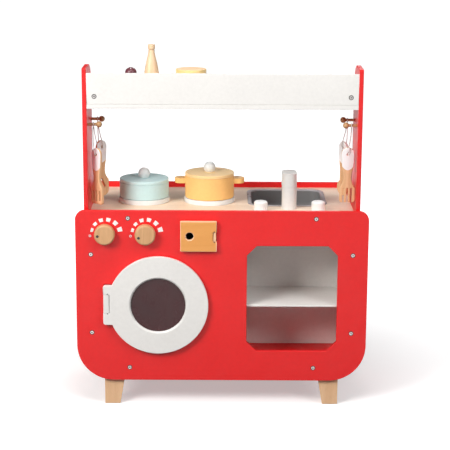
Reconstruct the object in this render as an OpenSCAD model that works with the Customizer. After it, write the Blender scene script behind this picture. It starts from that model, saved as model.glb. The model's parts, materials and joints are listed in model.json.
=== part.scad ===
// Toy kitchen: a boarded cabinet on four legs with a hob, a sink, a round washer door,
// a small flap door, an open cubby, two uprights with a top shelf and hanging utensils.
// Millimetres. X runs left to right, Z up, and the front looks towards -Y.
// Depths are measured back from the front face of the front panel.

/* [Cabinet] */
// Width of the front and back panels
panel_width = 600; // [560:5:660]
// Depth from the front face of the front panel to the back face of the back panel
cabinet_depth = 300; // [290:5:340]
// Thickness of every main board
board = 9; // [8:0.5:10]
// Height of the panels' lower edge above the floor
panel_bottom = 55; // [45:1:65]
// Height of the panels' upper edge
panel_top = 418; // [415:1:420]
// Radius of the panels' upper corners
corner_top = 20; // [10:1:24]
// Radius of the panels' lower corners
corner_bottom = 76; // [70:1:78]
// Distance from the middle to the outer face of a side panel
side_face = 282; // [280:1:286]
// Height of the worktop's upper face
worktop_top = 406.5; // [405:0.5:408]
// Height of the floor board's upper face
floor_top = 87.5; // [87:0.5:89]
// Depth of the face that closes the front compartments
divider_depth = 151; // [145:1:155]
// Thickness of the cubby's shelves
thin_board = 4; // [4:0.5:6]
// Height of the shelves' upper faces
cubby_shelf_top = 217; // [200:0.5:240]

/* [Uprights and top shelf] */
// Height of the uprights
upright_top = 706.5; // [700:0.5:720]
// Depth of an upright, front to back
upright_depth = 120; // [112:1:126]
// Radius of an upright's rear top corner
upright_corner = 55; // [30:1:60]
// Radius of the flare between an upright and the side panel's rim
flare = 90; // [60:5:100]
// Height of the shelf board's upper face
shelf_top = 634; // [630:1:640]
// Height of the board across the shelf's front
fascia_height = 62.5; // [55:0.5:66]

/* [Legs] */
// Distance from the middle to a leg's straight outer side
leg_outer = 244; // [230:1:244]
// Width of a leg at the floor
leg_foot = 32; // [26:0.5:34]
// Lean of a leg's inner side, sideways travel for each millimetre of height
leg_lean = 0.1727; // [0.1:0.01:0.2]
// Thickness of a leg, front to back
leg_thick = 22; // [18:1:26]

/* [Openings] */
// Left edge of the cubby opening
cubby_left = 51.5; // [50:0.5:56]
// Right edge of the cubby opening
cubby_right = 238; // [230:0.5:240]
// Lower edge of the cubby opening
cubby_bottom = 120; // [112:1:130]
// Upper edge of the cubby opening
cubby_top = 344.5; // [335:0.5:350]
// Corner chamfer of the cubby opening
cubby_chamfer = 20; // [10:1:30]
// Radius of the round opening behind the washer door
washer_opening = 85; // [75:1:88]

/* [Washer door] */
// Sideways place of the door's middle
door_x = -131; // [-132:0.5:-128]
// Height of the door's middle
door_z = 220; // [216:0.5:224]
// Outer radius of the door
door_radius = 103.5; // [98:0.5:104]
// Radius of the window
window_radius = 56.5; // [45:0.5:60]
// Height of the hinge tab
tab_height = 84; // [76:1:90]

/* [Flap door] */
// Left edge of the flap
flap_left = -85; // [-86:0.5:-80]
// Right edge of the flap
flap_right = -10.5; // [-11:0.5:-10]
// Lower edge of the flap
flap_bottom = 335; // [333:0.5:337]
// Upper edge of the flap
flap_top = 398; // [396:0.5:402]

/* [Controls] */
// Radius of a control knob
knob_radius = 21; // [18:0.5:22]
// How far a control knob stands out from the panel
knob_proud = 17; // [14:0.5:20]
// Height of the control knobs' axes
knob_z = 369.5; // [368:0.5:374]
// Radius of a tap
tap_radius = 14; // [12:0.5:16]
// Height of a tap above the worktop
tap_height = 20.5; // [16:0.5:24]
// Sideways place of the sink's middle
sink_x = 138; // [136:0.5:140]
// Sideways place of the faucet and of the middle between the taps
faucet_x = 139.5; // [136:0.5:141]

/* [Cookware] */
// Radius of the pots and their lids
pot_radius = 52; // [46:0.5:52]
// Height of the low pot with its lid
low_pot = 40; // [34:0.5:46]
// Height of the high pot with its lid
high_pot = 53.5; // [48:0.5:60]
// Thickness of a lid
lid_thick = 7; // [6:0.5:8]
// Radius of a burner
burner_radius = 53.5; // [53:0.5:56]
// Height of a burner
burner_height = 10; // [6:0.5:12]

/* [Utensils] */
// Height of the pegs' axes
peg_z = 589.5; // [585:0.5:595]
// Radius of a peg's rod
peg_radius = 3; // [3:0.1:4]
// Depth of the front pegs
peg_front = 34; // [32:1:38]
// Depth of the back pegs
peg_back = 104; // [98:1:106]
// Thickness of a utensil
utensil_thick = 6; // [5:0.5:7]

/* [Hidden] */
$fn = 72;

// Where the front panel's front face lies, with the object centred on the origin
front_y = knob_proud - (cabinet_depth + knob_proud) / 2;
back_depth = cabinet_depth - board;
half_width = panel_width / 2;
side_inner = side_face - board;
liner_inner = side_inner - board;
side_low = 84.5;
upright_front_corner = 3;
partition_x = 31;
worktop_under = worktop_top - board;
floor_under = floor_top - board;
divider_back = divider_depth + board;
eps = 0.01;

// Colours
red = [0.93, 0.22, 0.2];
white = [0.95, 0.94, 0.92];
light_wood = [0.9, 0.76, 0.6];
knob_wood = [0.85, 0.64, 0.44];
flap_wood = [0.91, 0.65, 0.38];
steel = [0.62, 0.6, 0.58];

// Screws: head radius and rise, shank radius and length, hole radii
head_radius = 4;
head_rise = 0.8;
head_sunk = 1;
shank_radius = 1.5;
screw_length = 26;
screw_clearance = 1.7;
worktop_screw_x = 192;
floor_screw_x = 191;
liner_screw_x = liner_inner + board / 2;
liner_screw_z = [158.7, 325.6];
fascia_screw_x = 257.5;
fascia_screw_z = 650;
leg_screw_x = 224;
leg_screw_depth = board + leg_thick / 2;
// Screw places on the front and back panels, sideways and up
panel_screw_places = concat(
    [for (side = [-1, 1]) [side * worktop_screw_x, worktop_top - board / 2]],
    [for (side = [-1, 1]) [side * floor_screw_x, floor_top - board / 2]],
    [for (side = [-1, 1], z = liner_screw_z) [side * liner_screw_x, z]]);

// Control knobs and their dials
knob_x = [-239.2, -156.6];
shaft_radius = 4;
shaft_clearance = 0.05;
knob_gap = 0.5;
collar_radius = 8;
collar_thick = 5;
knob_edge = 4;
dial_steps = 6;
dial_inner = 24.2;
dial_inner_step = 0.6;
dial_first_angle = 163.5;
dial_step_angle = 29.4;
dial_mark_angle = 16;
dial_first_length = 5.6;
dial_length_step = 0.8;
dial_zero_angle = 189;
dial_zero_radius = 30.7;
dial_thick = 0.3;

// Washer door: place of its hinge axis, thickness and stand-off
door_thick = 9;
door_gap = 2;
door_axis_x = -235;
door_axis_depth = -door_gap - door_thick / 2;
tab_left = -244;
tab_corner = 5;
door_knuckle = 4.2;
door_block_low = 203.5;
door_block_high = 242.5;
door_groove = 4;
window_lip = 4;
window_thick = 2;
window_chamfer = 3;

// Flap door
flap_thick = 9;
flap_gap = 1.5;
flap_axis_x = -15.5;
flap_axis_depth = -flap_gap - flap_thick / 2;
flap_knuckle = 3.2;
flap_block_low = 356;
flap_block_high = 375;
flap_block_edge = -12;
flap_groove = 1.5;
finger_hole = [-66, 366.7];
finger_radius = 8;
flap_window = [[-74, 343], [-26, 392]];
pin_radius = 1.5;
pin_clearance = 0.05;
pin_reach = 16;
block_gap = 0.4;
// Small round dimples over the pin at both ends of each block
dimple_radius = 1.3;
dimple_deep = 1.2;

// Catch magnets of the two doors
magnet_radius = 3;
magnet_sunk = 2;
magnet_proud = 1.2;
catch_places = [[door_x + 94, door_z], [-81, 366.5]];

// Sink
sink_width = 167.5;
sink_length = 172;
sink_front = 97;
sink_rim = 9;
sink_rim_thick = 1.5;
sink_wall = 2;
sink_deep = 40;
sink_corner = 22;
sink_cut_gap = 1;
sink_middle = sink_front + sink_length / 2;

// Faucet and taps
faucet_depth = 78;
faucet_radius = 15.5;
faucet_top = 482;
spout_gap = 0.35;
spout_thick = 27;
spout_reach = 21;
spout_pin = 8;
spout_pin_height = 14;
outlet_reach = 29;
outlet_radius = 4;
tap_depth = 58;
tap_spread = 59.5;
tap_edge = 4.5;

// Hob
burner_depth = 149;
burner_x = [-166, -27];
pot_wall = 7;
pot_floor = 6;
pot_chamfer = 1.5;
lid_plug = 4;
lid_plug_gap = 1;
lid_knob_radius = 12.7;
lid_knob_height = 22;
dowel_radius = 4;
dowel_length = 5;
lug_height = 36;
lug_thick = 11;
lug_width = 30;
lug_reach = 22;
lug_corner = 14;
burner_top = worktop_top + burner_height;

// Shelf items
item_depth = 52;
shaker_x = -186;
bottle_x = -144;
canister_x = -64;

// Pegs and hanging utensils: distance from the middle to a peg's ball and to a utensil
peg_ball_x = 250.5;
peg_ball = 6.3;
front_utensil_x = 256;
back_utensil_x = 253;
hole_drop = 59;
turner_drop = 63;
// Turn of each utensil about the vertical, anticlockwise from above
turner_turn = -42;
spatula_turn = 45;
fork_turn = 0;
spoon_turn = -58;
hole_radius = 2.8;
loop_radius = 0.9;
loop_sides = 8;
// Half of a cord loop, from the utensil's hole to the peg's top: towards the wall, back, up
loop_half = [[0, -0.5, -59], [0, -3, -58.6], [0, -5.4, -56.6], [0.5, -6.4, -52],
    [2, -6, -43], [4, -5.4, -29], [5.5, -4.8, -15], [6, -4.3, -5], [6, -4.15, -1],
    [6, -3.7, 1.9], [6, -2.2, 3.6]];
loop_route = concat(loop_half, [[6, 0, 4.2]],
    [for (i = [len(loop_half) - 1:-1:0]) [loop_half[i].x, -loop_half[i].y, loop_half[i].z]]);
// Height above the hole over which a loop twists from the utensil's turn to the peg
loop_twist_height = 52;

// Boards: one standing across the object, one standing front to back, one lying flat.
// Their outlines are drawn in (x, z), (depth, z) and (x, depth).
module cross_board(depth, thick)
    translate([0, front_y + depth + thick, 0])
        rotate([90, 0, 0])
            linear_extrude(height = thick) children();

module side_board(x, thick)
    translate([x, front_y, 0])
        rotate([90, 0, 90])
            linear_extrude(height = thick) children();

module flat_board(z, thick)
    translate([0, front_y, z])
        linear_extrude(height = thick) children();

module box(low, high)
    translate([low.x, front_y + low.y, low.z])
        cube(high - low);

// A rectangle with round corners, each with its own radius: low left, low right, high right, high left
module round_rect(low, high, radii) {
    centres = [[low.x + radii[0], low.y + radii[0]], [high.x - radii[1], low.y + radii[1]],
        [high.x - radii[2], high.y - radii[2]], [low.x + radii[3], high.y - radii[3]]];
    corners = [low, [high.x, low.y], high, [low.x, high.y]];
    difference() {
        translate(low) square(high - low);
        for (i = [0:3])
            if (radii[i] > 0)
                difference() {
                    translate([min(centres[i].x, corners[i].x), min(centres[i].y, corners[i].y)])
                        square(radii[i]);
                    translate(centres[i]) circle(r = radii[i]);
                }
    }
}

// A rectangle with its corners cut at 45 degrees
module cut_rect(low, high, cut)
    polygon([[low.x + cut, low.y], [high.x - cut, low.y], [high.x, low.y + cut],
        [high.x, high.y - cut], [high.x - cut, high.y], [low.x + cut, high.y],
        [low.x, high.y - cut], [low.x, low.y + cut]]);

// A rod lying front to back, and one standing up
module rod_back(x, depth, z, radius, length)
    translate([x, front_y + depth + length, z])
        rotate([90, 0, 0])
            cylinder(r = radius, h = length);

module rod_up(x, depth, z, radius, length)
    translate([x, front_y + depth, z])
        cylinder(r = radius, h = length);

// Front and back panels
module panel_outline()
    round_rect([-half_width, panel_bottom], [half_width, panel_top],
        [corner_bottom, corner_bottom, corner_top, corner_top]);

module cubby_outline()
    cut_rect([cubby_left, cubby_bottom], [cubby_right, cubby_top], cubby_chamfer);

module front_panel() color(red)
    difference() {
        cross_board(0, board)
            difference() {
                panel_outline();
                cubby_outline();
            }
        rod_back(door_x, -1, door_z, washer_opening, board + 2);
        box([flap_window[0].x, -1, flap_window[0].y], [flap_window[1].x, board + 1, flap_window[1].y]);
        for (x = knob_x)
            rod_back(x, -1, knob_z, shaft_radius, board + 2);
        for (place = panel_screw_places)
            rod_back(place.x, -1, place.y, screw_clearance, board + 2);
        // Relief grooves that the doors' hinge edges turn in
        box([tab_left + 0.4, -1, door_z - tab_height / 2 - 0.5],
            [door_axis_x + 8, door_groove, door_z + tab_height / 2 + 0.5]);
        box([flap_axis_x - 4.5, -1, flap_bottom - 0.5],
            [flap_axis_x + 4.2, flap_groove, flap_top + 0.5]);
        for (place = catch_places)
            rod_back(place.x, -1, place.y, magnet_radius, 1 + magnet_sunk);
    }

module back_panel() color(red)
    difference() {
        cross_board(back_depth, board)
            difference() {
                panel_outline();
                cubby_outline();
                mirror([1, 0]) cubby_outline();
            }
        for (place = panel_screw_places) {
            rod_back(place.x, back_depth - 1, place.y, screw_clearance, board + 2);
            rod_back(place.x, cabinet_depth - head_sunk, place.y, head_radius + 0.2, head_sunk + 1);
        }
    }

// Side panels, each rising at the front into an upright
module side_outline() {
    upright_back = board + upright_depth;
    translate([board, side_low]) square([back_depth - board, panel_top - side_low]);
    round_rect([board, side_low], [upright_back, upright_top], [0, 0, upright_corner, upright_front_corner]);
    difference() {
        translate([upright_back - eps, panel_top - eps]) square(flare + eps);
        translate([upright_back + flare, panel_top + flare]) circle(r = flare);
    }
}

module side_panel(side) color(red)
    difference() {
        side_board(side > 0 ? side_inner : -side_face, board) side_outline();
        for (depth = [peg_front, peg_back])
            translate([side * side_inner, front_y + depth, peg_z])
                rotate([0, side * 90, 0])
                    translate([0, 0, -1]) cylinder(r = peg_radius + 0.02, h = board + 2);
    }

// Boards inside the side panels, whose edges take the panel screws
module side_liner(side) color(white)
    difference() {
        box([side > 0 ? liner_inner : -side_inner, board, floor_top],
            [side > 0 ? side_inner : -liner_inner, back_depth, worktop_under]);
        for (z = liner_screw_z)
            edge_holes(side * liner_screw_x, z);
    }

// Pilot holes for one front and one back screw in a board's two edges
module edge_holes(x, z) {
    pilot = screw_length - board;
    rod_back(x, board - 1, z, shank_radius + 0.02, pilot + 1.5);
    rod_back(x, back_depth - pilot - head_sunk - 0.5, z, shank_radius + 0.02, pilot + 3);
}

module sink_cut(gap)
    round_rect([sink_x - sink_width / 2 + sink_rim - gap, sink_front + sink_rim - gap],
        [sink_x + sink_width / 2 - sink_rim + gap, sink_front + sink_length - sink_rim + gap],
        [for (i = [0:3]) sink_corner + gap]);

module worktop() color(light_wood)
    difference() {
        flat_board(worktop_under, board)
            difference() {
                translate([-side_inner, board]) square([2 * side_inner, back_depth - board]);
                sink_cut(sink_wall + sink_cut_gap);
            }
        for (side = [-1, 1]) {
            edge_holes(side * worktop_screw_x, worktop_top - board / 2);
            rod_up(faucet_x + side * tap_spread, tap_depth, worktop_under - 1, shaft_radius, board + 2);
        }
        rod_up(faucet_x, faucet_depth, worktop_under - 1, dowel_radius * 1.5 + 0.02, board + 2);
    }

module floor_board() color(red)
    difference() {
        box([-side_inner, board, floor_under], [side_inner, back_depth, floor_top]);
        for (side = [-1, 1]) {
            edge_holes(side * floor_screw_x, floor_top - board / 2);
            for (depth = [leg_screw_depth, cabinet_depth - leg_screw_depth]) {
                rod_up(side * leg_screw_x, depth, floor_under - 1, screw_clearance, board + 2);
                rod_up(side * leg_screw_x, depth, floor_top - head_sunk, head_radius + 0.2, head_sunk + 1);
            }
        }
    }

module mid_divider() color(white)
    difference() {
        box([-liner_inner, divider_depth, floor_top], [liner_inner, divider_back, worktop_under]);
        box([sink_x - sink_width / 2 - 1, divider_depth - 1, worktop_top - sink_deep - 4],
            [sink_x + sink_width / 2 + 1, divider_back + 1, worktop_under + 1]);
    }

module front_partition() color(white)
    box([partition_x, board, floor_top], [partition_x + board, divider_depth, worktop_under]);

module rear_partition() color(white)
    box([-board / 2, divider_back, floor_top], [board / 2, back_depth, worktop_under]);

module cubby_shelf() color(white)
    box([partition_x + board, board, cubby_shelf_top - thin_board],
        [liner_inner, divider_depth, cubby_shelf_top]);

module rear_shelf() color(white)
    box([board / 2, divider_back, cubby_shelf_top - thin_board], [liner_inner, back_depth, cubby_shelf_top]);

// A tapered leg with its straight side outwards
module leg(side, depth) color(light_wood)
    difference() {
        cross_board(depth, leg_thick)
            polygon([[side * leg_outer, 0], [side * (leg_outer - leg_foot), 0],
                [side * (leg_outer - leg_foot - leg_lean * floor_under), floor_under],
                [side * leg_outer, floor_under]]);
        rod_up(side * leg_screw_x, depth + leg_thick / 2, floor_under - 20, shank_radius + 0.02, 21);
    }

module top_shelf() color(white)
    box([-side_inner, board, shelf_top - board], [side_inner, board + upright_depth - 4, shelf_top]);

module shelf_fascia() color(white)
    difference() {
        box([-side_inner, board, shelf_top], [side_inner, 2 * board, shelf_top + fascia_height]);
        for (side = [-1, 1])
            rod_back(side * fascia_screw_x, board - 1, fascia_screw_z, screw_clearance, board + 2);
    }

module shelf_blocks() color(light_wood)
    for (side = [-1, 1])
        difference() {
            cross_board(2 * board, 20)
                translate([side > 0 ? side_inner - 31 : -side_inner, shelf_top]) square(31);
            rod_back(side * fascia_screw_x, 2 * board - 1, fascia_screw_z, shank_radius + 0.02, 18.5);
        }

// Sink: a flat rim on the worktop round a basin with round corners
module sink_basin() color([0.55, 0.56, 0.57])
    difference() {
        union() {
            flat_board(worktop_top, sink_rim_thick)
                round_rect([sink_x - sink_width / 2, sink_front],
                    [sink_x + sink_width / 2, sink_front + sink_length],
                    [for (i = [0:3]) sink_corner + sink_rim]);
            flat_board(worktop_top - sink_deep, sink_deep + eps) sink_cut(sink_wall);
        }
        flat_board(worktop_top - sink_deep + sink_wall, sink_deep + sink_wall) sink_cut(0);
    }

module burner(x) color(white)
    translate([x, front_y + burner_depth, worktop_top])
        cylinder(r = burner_radius, h = burner_height);

// Faucet: a round post with a pin that the swivelling spout turns on
module faucet_post() color(white)
    translate([faucet_x, front_y + faucet_depth, 0]) {
        translate([0, 0, worktop_under]) cylinder(r = dowel_radius * 1.5, h = board + eps);
        translate([0, 0, worktop_top])
            cylinder(r = faucet_radius, h = faucet_top - spout_thick - spout_gap - worktop_top);
        translate([0, 0, faucet_top - spout_thick - 1])
            cylinder(r = spout_pin - shaft_clearance, h = spout_pin_height);
    }

module faucet_spout() color(white)
    translate([faucet_x, front_y + faucet_depth, faucet_top - spout_thick])
        difference() {
            union() {
                for (reach = [0, spout_reach])
                    translate([0, reach, 0]) cylinder(r = faucet_radius, h = spout_thick);
                translate([-faucet_radius, 0, 0]) cube([2 * faucet_radius, spout_reach, spout_thick]);
            }
            translate([0, 0, -1]) cylinder(r = spout_pin, h = spout_pin_height + 1.5);
            translate([0, outlet_reach, -1]) cylinder(r = outlet_radius, h = 6);
        }

// A tap on a shaft through the worktop, held by a collar below
module tap(side) color(white)
    translate([faucet_x + side * tap_spread, front_y + tap_depth, 0]) {
        translate([0, 0, worktop_top + knob_gap])
            rotate_extrude() {
                square([tap_radius, tap_height - tap_edge - knob_gap]);
                square([tap_radius - tap_edge, tap_height - knob_gap]);
                translate([tap_radius - tap_edge, tap_height - tap_edge - knob_gap])
                    intersection() {
                        circle(r = tap_edge);
                        square(tap_edge);
                    }
            }
        translate([0, 0, worktop_under - knob_gap - collar_thick])
            cylinder(r = shaft_radius - shaft_clearance, h = board + collar_thick + 2 * knob_gap + 1);
        translate([0, 0, worktop_under - knob_gap - collar_thick])
            cylinder(r = collar_radius, h = collar_thick);
    }

// A control knob on a shaft through the front panel, held by a collar behind
module knob(x) color(knob_wood)
    translate([x, front_y, knob_z])
        rotate([90, 0, 0]) {
            translate([0, 0, knob_gap])
                rotate_extrude() {
                    square([knob_radius, knob_proud - knob_gap - knob_edge]);
                    square([knob_radius - knob_edge, knob_proud - knob_gap]);
                    translate([knob_radius - knob_edge, knob_proud - knob_gap - knob_edge])
                        intersection() {
                            circle(r = knob_edge);
                            square(knob_edge);
                        }
                }
            translate([0, 0, -board - knob_gap - collar_thick])
                cylinder(r = shaft_radius - shaft_clearance, h = board + collar_thick + 2 * knob_gap + 1);
            translate([0, 0, -board - knob_gap - collar_thick])
                cylinder(r = collar_radius, h = collar_thick);
        }

// Painted dial: growing marks round each knob and a small ring at zero
module dial_marks() color(white)
    cross_board(-dial_thick, dial_thick)
        for (x = knob_x)
            translate([x, knob_z]) {
                for (i = [0:dial_steps - 1])
                    dial_mark(dial_first_angle - i * dial_step_angle, dial_inner + i * dial_inner_step,
                        dial_first_length + i * dial_length_step);
                rotate(dial_zero_angle)
                    translate([dial_zero_radius, 0])
                        difference() {
                            circle(r = 2.6);
                            circle(r = 1.4);
                        }
            }

module dial_mark(angle, inner, length)
    rotate(angle)
        intersection() {
            difference() {
                circle(r = inner + length);
                circle(r = inner);
            }
            polygon([[0, 0], [60, -60 * tan(dial_mark_angle / 2)], [60, 60 * tan(dial_mark_angle / 2)]]);
        }

// Fixed hinge block: a round knuckle about the axis with a cheek towards the door's edge
module hinge_block(axis_x, axis_depth, edge_x, knuckle, low, high, foot)
    translate([0, front_y, 0])
        difference() {
            union() {
                translate([axis_x, axis_depth, low]) cylinder(r = knuckle, h = high - low);
                translate([min(axis_x, edge_x), axis_depth - knuckle, low])
                    cube([abs(edge_x - axis_x), foot - axis_depth + knuckle, high - low]);
                translate([axis_x - knuckle, axis_depth, low])
                    cube([2 * knuckle, foot - axis_depth, high - low]);
            }
            translate([axis_x, axis_depth, low - 1]) cylinder(r = pin_radius, h = high - low + 2);
        }

module door_hinge_block() color(white)
    hinge_block(door_axis_x, door_axis_depth, tab_left + 0.6, door_knuckle,
        door_block_low, door_block_high, door_groove);

module flap_hinge_block() color(light_wood)
    hinge_block(flap_axis_x, flap_axis_depth, flap_block_edge, flap_knuckle,
        flap_block_low, flap_block_high, flap_groove);

// Steel pins that hold the doors, fixed in their blocks
module hinge_pins() color(steel) {
    rod_up(door_axis_x, door_axis_depth, door_block_low - pin_reach,
        pin_radius - pin_clearance, door_block_high - door_block_low + 2 * pin_reach);
    rod_up(flap_axis_x, flap_axis_depth, flap_block_low - pin_reach,
        pin_radius - pin_clearance, flap_block_high - flap_block_low + 2 * pin_reach);
}

module catch_magnets() color(steel)
    for (place = catch_places)
        rod_back(place.x, -magnet_proud, place.y, magnet_radius - 0.02, magnet_proud + magnet_sunk);

// Washer door: a disc with a tab at its hinge side and a stepped window hole
module door_outline()
    union() {
        translate([door_x, door_z]) circle(r = door_radius);
        round_rect([tab_left, door_z - tab_height / 2], [door_x, door_z + tab_height / 2],
            [tab_corner, 0, 0, tab_corner]);
    }

module door_ring() color(white)
    difference() {
        cross_board(-door_gap - door_thick, door_thick) door_outline();
        rod_back(door_x, -door_gap - door_thick - 1, door_z, window_radius, door_thick + 2);
        rod_back(door_x, -door_gap - window_thick - 0.5, door_z, window_radius + window_lip, 4);
        translate([door_x, front_y - door_gap - door_thick, door_z])
            rotate([-90, 0, 0])
                translate([0, 0, -1])
                    cylinder(r1 = window_radius + window_chamfer + 1, r2 = window_radius,
                        h = window_chamfer + 1);
        // Notch that the fixed hinge block fills
        box([tab_left - 1, -door_gap - door_thick - 1, door_block_low - block_gap],
            [door_axis_x + door_knuckle + 0.3, 1, door_block_high + block_gap]);
        rod_up(door_axis_x, door_axis_depth, door_z - tab_height,
            pin_radius, door_block_high + pin_reach + 0.5 - door_z + tab_height);
        for (z = [door_block_low - block_gap - 1, door_block_high + block_gap + 1])
            rod_back(door_axis_x, -door_gap - door_thick - 1, z, dimple_radius, 1 + dimple_deep);
    }

module door_window() color([0.3, 0.2, 0.22])
    rod_back(door_x, -door_gap - window_thick - 0.5, door_z, window_radius + window_lip - 0.02, window_thick);

module flap_door() color(flap_wood)
    difference() {
        box([flap_left, -flap_gap - flap_thick, flap_bottom], [flap_right, -flap_gap, flap_top]);
        rod_back(finger_hole.x, -flap_gap - flap_thick - 1, finger_hole.y, finger_radius, flap_thick + 2);
        box([flap_axis_x - flap_knuckle - 0.3, -flap_gap - flap_thick - 1, flap_block_low - block_gap],
            [flap_right + 1, 1, flap_block_high + block_gap]);
        rod_up(flap_axis_x, flap_axis_depth, flap_bottom - 1,
            pin_radius, flap_block_high + pin_reach + 0.5 - flap_bottom + 1);
        for (z = [flap_block_low - block_gap - 1, flap_block_high + block_gap + 1])
            rod_back(flap_axis_x, -flap_gap - flap_thick - 1, z, dimple_radius, 1 + dimple_deep);
    }

// Pots: a turned cup, a lid with a plug, and a ball knob on a dowel
module pot(x, height) {
    body_height = height - lid_thick;
    translate([x, front_y + burner_depth, burner_top])
        rotate_extrude()
            polygon([[0, 0], [pot_radius - pot_chamfer, 0], [pot_radius, pot_chamfer],
                [pot_radius, body_height], [pot_radius - pot_wall, body_height],
                [pot_radius - pot_wall, pot_floor], [0, pot_floor]]);
}

module pot_lid(x, height)
    translate([x, front_y + burner_depth, burner_top + height - lid_thick])
        difference() {
            union() {
                cylinder(r = pot_radius, h = lid_thick);
                translate([0, 0, -lid_plug])
                    cylinder(r = pot_radius - pot_wall - lid_plug_gap, h = lid_plug + eps);
            }
            translate([0, 0, lid_thick - dowel_length])
                cylinder(r = dowel_radius + 0.02, h = dowel_length + 1);
        }

module pot_knob(x, height)
    translate([x, front_y + burner_depth, burner_top + height]) {
        translate([0, 0, -dowel_length]) cylinder(r = dowel_radius, h = dowel_length + 1);
        rotate_extrude()
            intersection() {
                translate([0, lid_knob_height - lid_knob_radius]) circle(r = lid_knob_radius);
                square([lid_knob_radius, lid_knob_height]);
            }
    }

// Side lug of the high pot, with a rounded outer end
module lug(side)
    translate([burner_x[1] + side * pot_radius, front_y + burner_depth,
        burner_top + lug_height - lug_thick / 2])
        mirror([side > 0 ? 0 : 1, 0, 0])
            difference() {
                linear_extrude(height = lug_thick)
                    round_rect([-6, -lug_width / 2], [lug_reach, lug_width / 2],
                        [0, lug_corner, lug_corner, 0]);
                translate([-pot_radius, 0, -1]) cylinder(r = pot_radius - 1, h = lug_thick + 2);
            }

module pot_low() color([0.78, 0.88, 0.86]) pot(burner_x[0], low_pot);
module pot_low_lid() color([0.78, 0.88, 0.86]) pot_lid(burner_x[0], low_pot);
module pot_low_knob() color(white) pot_knob(burner_x[0], low_pot);
module pot_high() color([1, 0.84, 0.49]) {
    pot(burner_x[1], high_pot);
    for (side = [-1, 1]) lug(side);
}
module pot_high_lid() color([1, 0.84, 0.49]) pot_lid(burner_x[1], high_pot);
module pot_high_knob() color(white) pot_knob(burner_x[1], high_pot);

// A peg: a rod through the upright and a ball with a small flat at its inner end
module peg(side, depth) color(light_wood)
    translate([side * peg_ball_x, front_y + depth, peg_z])
        rotate([0, side * 90, 0])
            rotate_extrude()
                intersection() {
                    union() {
                        circle(r = peg_ball);
                        square([peg_radius, side_face - peg_ball_x]);
                    }
                    translate([0, 0.1 - peg_ball]) square([peg_ball, side_face]);
                }

// Utensils hang below their pegs, drawn downwards from the hole
module utensil(x, depth, drop, turn)
    translate([x, front_y + depth, peg_z - drop])
        rotate(turn)
            translate([0, utensil_thick / 2, 0])
                rotate([90, 0, 0])
                    linear_extrude(height = utensil_thick)
                        difference() {
                            children();
                            circle(r = hole_radius);
                        }

// A smooth bend from a to c that leans towards b
function bend(a, b, c) =
    [for (i = [1:6]) let (t = i / 6) (1 - t) * (1 - t) * a + 2 * t * (1 - t) * b + t * t * c];

// Half of a utensil's egg-shaped handle and its neck: right of the middle, up
handle_side = concat(
    [for (angle = [90:-15:0]) [13 * cos(angle), 1 + 13 * sin(angle)]],
    bend([13, 1], [13, -22], [9.6, -36]),
    bend([9.6, -36], [8, -43], [8, -50]));

// A blade below the neck with round lower corners
function blade_side(half, low, corner) = concat(
    bend([8, -50], [8.5, -61], [half, -70]),
    [for (angle = [0:-15:-90]) [half - corner + corner * cos(angle), low + corner + corner * sin(angle)]]);

// The spoon's round bowl below the neck
function bowl_side(radius, z) =
    [for (angle = [60:-12:-90]) [radius * cos(angle), z + radius * sin(angle)]];

module mirrored_outline(side)
    polygon(concat(side, [for (i = [len(side) - 1:-1:0]) if (side[i].x > eps) [-side[i].x, side[i].y]]));

module turner() color(light_wood)
    utensil(-front_utensil_x, peg_front, turner_drop, turner_turn)
        difference() {
            mirrored_outline(concat(handle_side, blade_side(17, -102, 5)));
            for (x = [-9.5, 0, 9.5])
                round_slot(x, -96, -74, 1.6);
        }

module spatula() color(light_wood)
    utensil(-back_utensil_x, peg_back, hole_drop, spatula_turn)
        difference() {
            mirrored_outline(concat(handle_side, blade_side(18, -104, 13)));
            for (place = [[-8, -82], [3, -76]])
                translate(place) rotate(28) round_slot(0, -11, 11, 1.8);
        }

module fork() color(light_wood)
    utensil(front_utensil_x, peg_front, hole_drop, fork_turn)
        difference() {
            mirrored_outline(concat(handle_side, blade_side(16, -100, 5)));
            for (x = [-8, 0, 8]) {
                translate([x - 1.7, -103]) square([3.4, 31]);
                translate([x, -72]) circle(r = 1.7);
            }
        }

module spoon() color(light_wood)
    difference() {
        utensil(back_utensil_x, peg_back, hole_drop, spoon_turn)
            mirrored_outline(concat(handle_side, bowl_side(17, -84)));
        translate([back_utensil_x, front_y + peg_back, peg_z - hole_drop])
            rotate(spoon_turn)
                translate([0, -34, -84]) sphere(r = 34);
    }

module round_slot(x, low, high, radius) {
    translate([x - radius, low + radius]) square([2 * radius, high - low - 2 * radius]);
    for (z = [low + radius, high - radius])
        translate([x, z]) circle(r = radius);
}

// Cord loops: a tube of flat-sided rings swept along the route
function unit(v) = v / norm(v);
function route_way(route, i) = unit(route[min(i + 1, len(route) - 1)] - route[max(i - 1, 0)]);
function ring(route, i) =
    let (way = route_way(route, i), across = unit(cross(way, cross([1, 0, 0], way))), up = cross(way, across))
    [for (k = [0:loop_sides - 1])
        route[i] + loop_radius * (cos(360 * k / loop_sides) * across + sin(360 * k / loop_sides) * up)];

module cord(route) {
    rings = len(route);
    points = [for (i = [0:rings - 1]) each ring(route, i)];
    walls = [for (i = [0:rings - 2], k = [0:loop_sides - 1])
        let (a = i * loop_sides + k, b = i * loop_sides + (k + 1) % loop_sides)
        each [[a, b, a + loop_sides], [b, b + loop_sides, a + loop_sides]]];
    near_cap = [for (k = [loop_sides - 1:-1:0]) k];
    far_cap = [for (k = [0:loop_sides - 1]) (rings - 1) * loop_sides + k];
    polyhedron(points, concat(walls, [near_cap, far_cap]), convexity = 6);
}

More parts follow.
